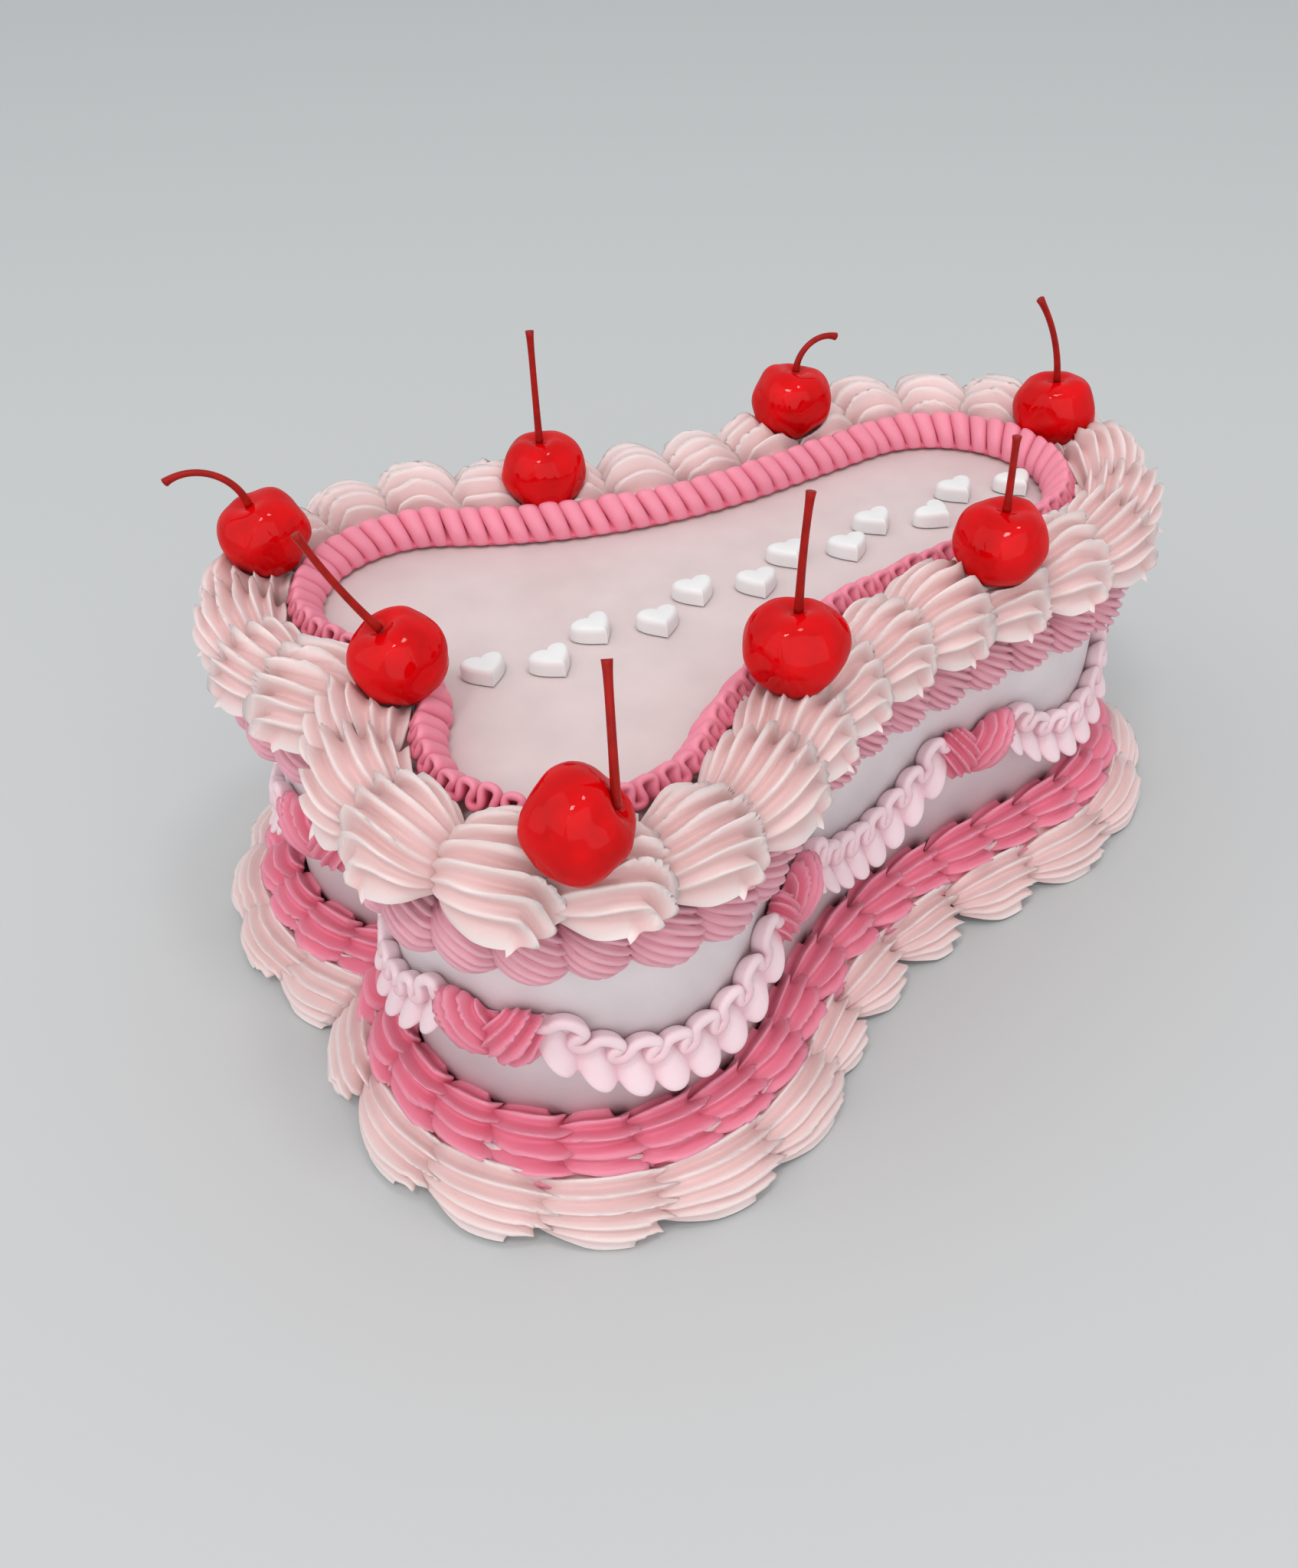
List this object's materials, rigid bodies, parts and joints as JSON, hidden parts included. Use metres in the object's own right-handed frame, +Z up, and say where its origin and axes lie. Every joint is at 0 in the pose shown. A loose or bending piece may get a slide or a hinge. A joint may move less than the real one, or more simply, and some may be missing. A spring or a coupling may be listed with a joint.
{
  "type": "penis-shaped cake",
  "caption": "Novelty party cake with two round lobes and a round-ended shaft, with piped shell borders, ruffled swags, hearts and glossy cherries with stems.",
  "frame": {"origin": "on the flat underside of the cake, between the two lobes and the shaft", "axes": "+X along the shaft towards its rounded tip, +Z up, the two lobes side by side along Y"},
  "size_m": [0.2914, 0.2143, 0.1602],
  "materials": {
    "cake_icing": "smooth pale pink buttercream, satin",
    "pale_piping": "piped buttercream, pale pink, satin",
    "rose_piping": "piped buttercream, rose pink, satin",
    "mid_piping": "piped buttercream, middle pink, satin",
    "deep_piping": "piped buttercream, deep pink, satin",
    "swag_piping": "piped buttercream, light pink, satin",
    "cherry_skin": "syrupy cherry skin, very glossy",
    "stem": "red-brown cherry stem",
    "fondant": "white fondant, smooth"
  },
  "bodies": {
    "root": {"cake_body": "cake_icing", "top_shell_border": "pale_piping", "side_shell_border": "mid_piping", "base_shells_upper": "deep_piping", "base_shells_lower": "pale_piping", "top_ruffle": "rose_piping", "drop_1": "deep_piping", "swag_1": "swag_piping", "cherry_1": "cherry_skin", "cherry_stem_1": "stem", "drop_2": "deep_piping", "swag_2": "swag_piping", "cherry_2": "cherry_skin", "cherry_stem_2": "stem", "drop_3": "deep_piping", "swag_3": "swag_piping", "cherry_3": "cherry_skin", "cherry_stem_3": "stem", "drop_4": "deep_piping", "swag_4": "swag_piping", "cherry_4": "cherry_skin", "cherry_stem_4": "stem", "drop_5": "deep_piping", "swag_5": "swag_piping", "cherry_5": "cherry_skin", "cherry_stem_5": "stem", "drop_6": "deep_piping", "swag_6": "swag_piping", "cherry_6": "cherry_skin", "cherry_stem_6": "stem", "drop_7": "deep_piping", "swag_7": "swag_piping", "cherry_7": "cherry_skin", "cherry_stem_7": "stem", "drop_8": "deep_piping", "swag_8": "swag_piping", "cherry_8": "cherry_skin", "cherry_stem_8": "stem", "heart_1": "fondant", "heart_2": "fondant", "heart_3": "fondant", "heart_4": "fondant", "heart_5": "fondant", "heart_6": "fondant", "heart_7": "fondant", "heart_8": "fondant", "heart_9": "fondant", "heart_10": "fondant", "heart_11": "fondant", "heart_12": "fondant"}
  },
  "joints": []
}
